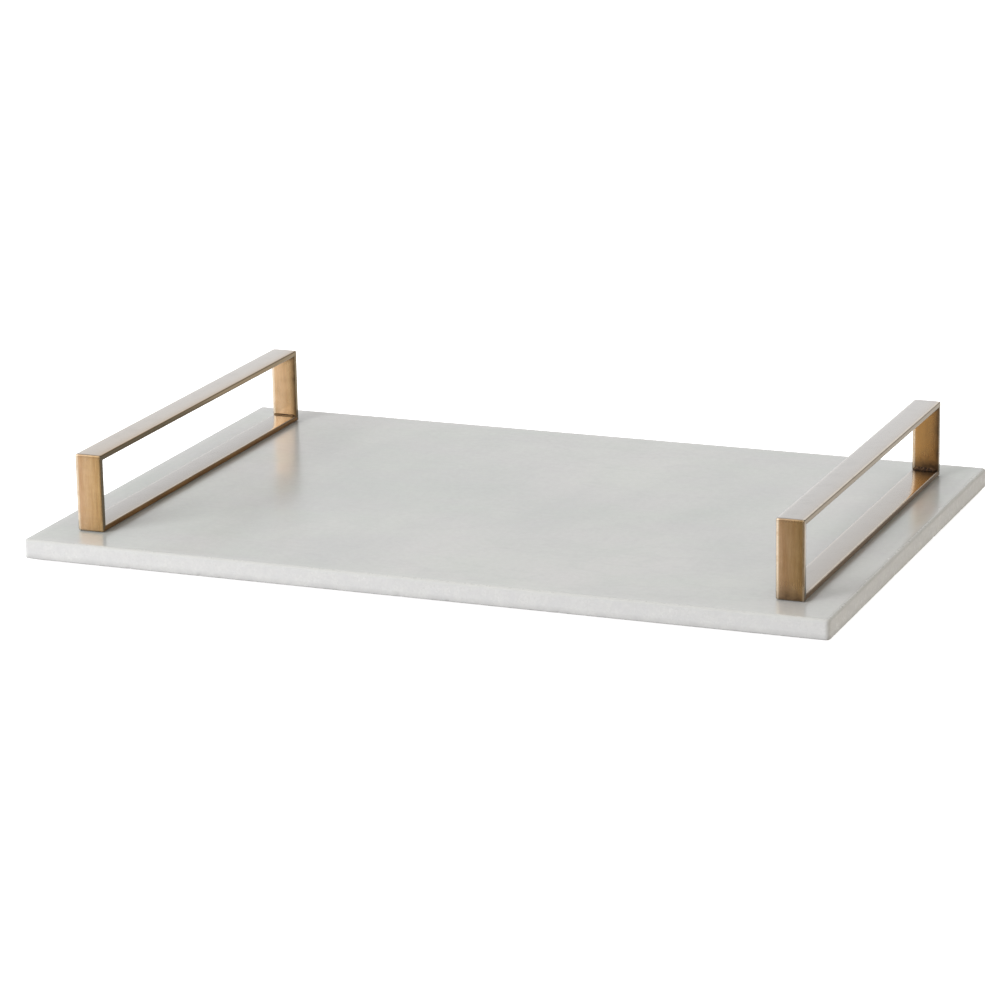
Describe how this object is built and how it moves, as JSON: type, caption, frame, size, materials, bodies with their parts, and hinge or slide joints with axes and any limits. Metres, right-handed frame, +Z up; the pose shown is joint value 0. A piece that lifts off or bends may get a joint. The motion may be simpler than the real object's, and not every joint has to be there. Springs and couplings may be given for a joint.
{
  "type": "vanity tray",
  "caption": "Flat rectangular tray for a dresser: a polished white marble slab with an antique-brass rectangular loop handle at each end, on small rubber feet.",
  "frame": {"origin": "under the centre of the slab, on the plane that the feet stand on", "axes": "+X along the slab's long side towards the right handle, +Y from front to rear, +Z up"},
  "size_m": [0.4572, 0.3048, 0.057],
  "materials": {
    "white_marble": "polished",
    "antique_brass": "satin",
    "dark_braze": "matte",
    "plain_brass": "satin",
    "plated_steel": "satin",
    "vulcanised_fibre": "matte",
    "soft_rubber": "matte"
  },
  "bodies": {
    "root": {"marble_slab": "white_marble", "left_handle_top_bar": "antique_brass", "left_handle_base_bar": "antique_brass", "left_handle_front_post": "antique_brass", "left_handle_rear_post": "antique_brass", "left_handle_front_lower_braze": "dark_braze", "left_handle_front_upper_braze": "dark_braze", "left_handle_rear_lower_braze": "dark_braze", "left_handle_rear_upper_braze": "dark_braze", "left_front_boss": "plain_brass", "left_front_fibre_washer": "vulcanised_fibre", "left_front_steel_washer": "plated_steel", "left_front_screw": "plated_steel", "left_front_foot": "soft_rubber", "left_rear_boss": "plain_brass", "left_rear_fibre_washer": "vulcanised_fibre", "left_rear_steel_washer": "plated_steel", "left_rear_screw": "plated_steel", "left_rear_foot": "soft_rubber", "right_handle_top_bar": "antique_brass", "right_handle_base_bar": "antique_brass", "right_handle_front_post": "antique_brass", "right_handle_rear_post": "antique_brass", "right_handle_front_lower_braze": "dark_braze", "right_handle_front_upper_braze": "dark_braze", "right_handle_rear_lower_braze": "dark_braze", "right_handle_rear_upper_braze": "dark_braze", "right_front_boss": "plain_brass", "right_front_fibre_washer": "vulcanised_fibre", "right_front_steel_washer": "plated_steel", "right_front_screw": "plated_steel", "right_front_foot": "soft_rubber", "right_rear_boss": "plain_brass", "right_rear_fibre_washer": "vulcanised_fibre", "right_rear_steel_washer": "plated_steel", "right_rear_screw": "plated_steel", "right_rear_foot": "soft_rubber"}
  },
  "joints": []
}
